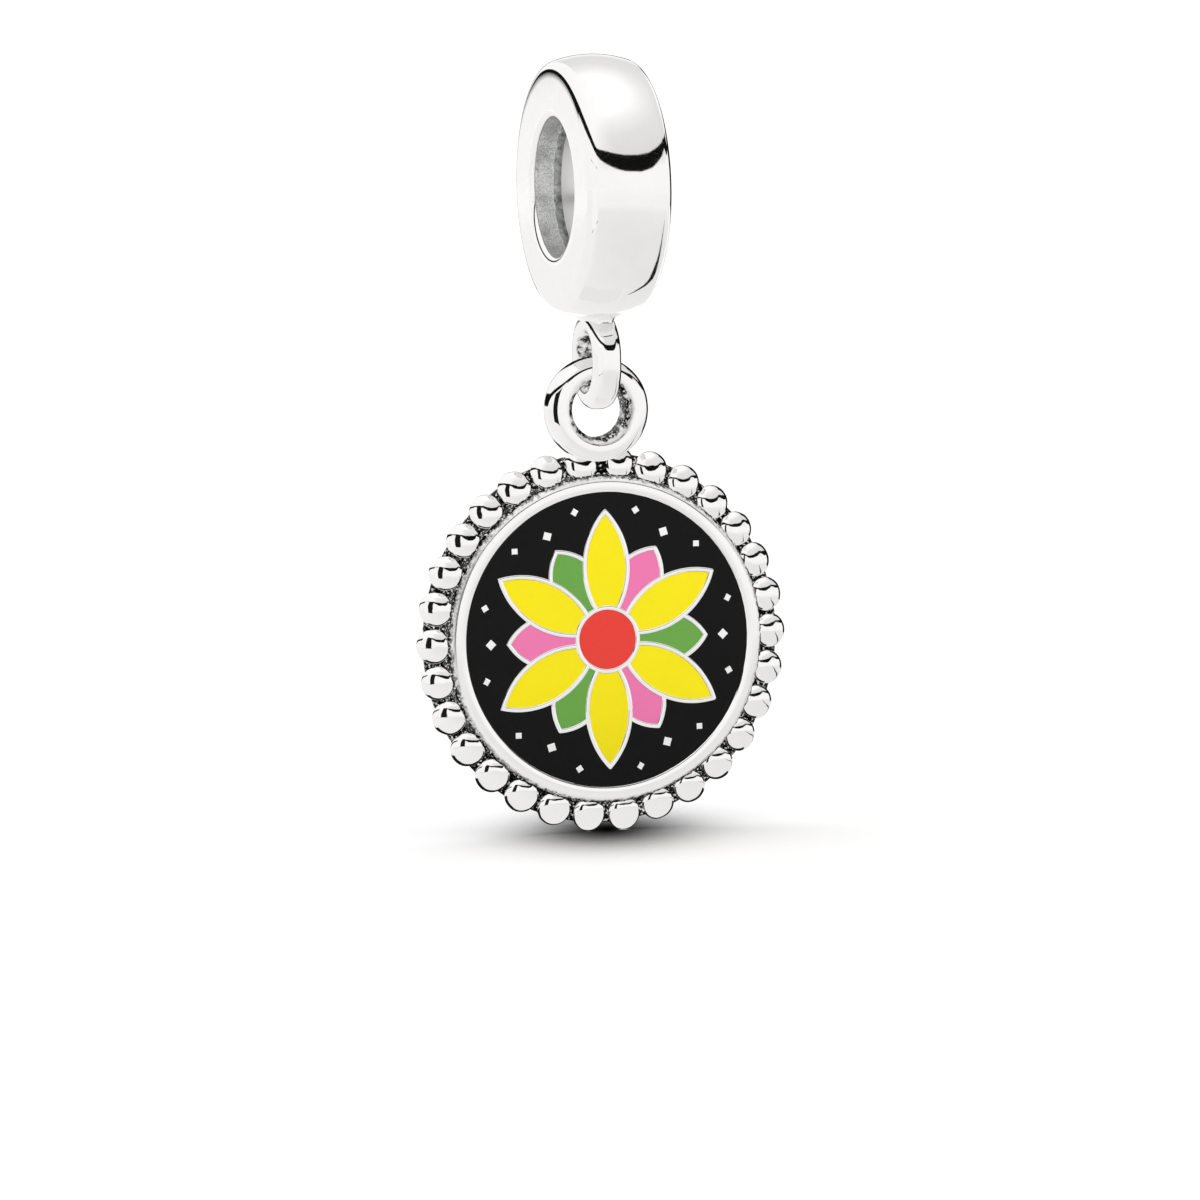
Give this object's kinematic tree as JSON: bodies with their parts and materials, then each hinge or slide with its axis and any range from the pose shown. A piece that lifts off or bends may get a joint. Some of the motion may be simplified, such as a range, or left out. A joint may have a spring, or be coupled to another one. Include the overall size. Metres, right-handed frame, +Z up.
{
  "type": "dangle charm for a bracelet",
  "caption": "Charm with a crowned ring to slide on a bracelet and, swinging from its loop, a beaded disc with an enamel flower.",
  "frame": {"origin": "centre of the bail ring's bore, where the charm hangs on a bracelet", "axes": "+X along the bore, -Y towards the viewer of the enamel face, +Z up"},
  "size_m": [0.0126, 0.0084, 0.0251],
  "materials": {
    "silver_bail": "polished sterling silver",
    "silver_medallion": "polished sterling silver, darkened in the grooves",
    "enamel_black": "glossy black enamel",
    "enamel_red": "glossy red enamel",
    "enamel_yellow": "glossy yellow enamel",
    "enamel_green": "glossy green enamel",
    "enamel_pink": "glossy pink enamel"
  },
  "bodies": {
    "bail_ring": {"bail": "silver_bail"},
    "pendant": {"medallion": "silver_medallion", "enamel_ground": "enamel_black", "enamel_centre": "enamel_red", "petal_1": "enamel_yellow", "petal_2": "enamel_yellow", "petal_3": "enamel_yellow", "petal_4": "enamel_yellow", "petal_5": "enamel_yellow", "petal_6": "enamel_yellow", "green_leaf_1": "enamel_green", "green_leaf_2": "enamel_green", "green_leaf_3": "enamel_green", "pink_leaf_1": "enamel_pink", "pink_leaf_2": "enamel_pink", "pink_leaf_3": "enamel_pink"}
  },
  "joints": [
    {"name": "pendant_swing", "type": "hinge", "parent": "bail_ring", "child": "pendant", "pos_m": [0, 0, -0.0068], "axis": [0, 1, 0], "range_deg": [-100, 100]}
  ]
}
